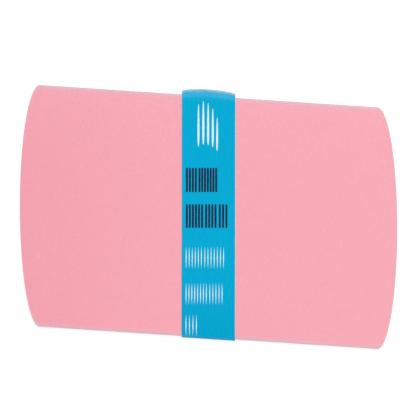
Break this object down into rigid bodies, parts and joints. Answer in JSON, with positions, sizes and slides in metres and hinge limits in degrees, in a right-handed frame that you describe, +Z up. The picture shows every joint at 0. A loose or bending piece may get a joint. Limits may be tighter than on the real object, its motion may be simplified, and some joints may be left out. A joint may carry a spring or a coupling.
{
  "type": "emery board",
  "caption": "Flat nail file with half-round ends: a stiff core faced on both sides with pink grit on film, in a folded paper band that slides off along it.",
  "frame": {"origin": "under the middle of the paper band, on the surface that the band rests on", "axes": "+X along the file, +Y across it towards the band's loose fold, +Z up out of the band's printed face"},
  "size_m": [0.18, 0.0197, 0.0015],
  "materials": {
    "core_plastic": "satin",
    "adhesive": "satin",
    "polyester_film": "gloss",
    "grit": "matte",
    "printed_paper": "satin",
    "glue": "gloss"
  },
  "bodies": {
    "file": {"core_board": "core_plastic", "top_adhesive_film": "adhesive", "bottom_adhesive_film": "adhesive", "top_polyester_film": "polyester_film", "bottom_polyester_film": "polyester_film", "top_grit_coat": "grit", "bottom_grit_coat": "grit"},
    "band": {"paper_band": "printed_paper", "band_glue": "glue"}
  },
  "joints": [
    {"name": "band_slide", "type": "slide", "parent": "file", "child": "band", "axis": [1, 0, 0], "range_m": [-0.104, 0.104]}
  ]
}
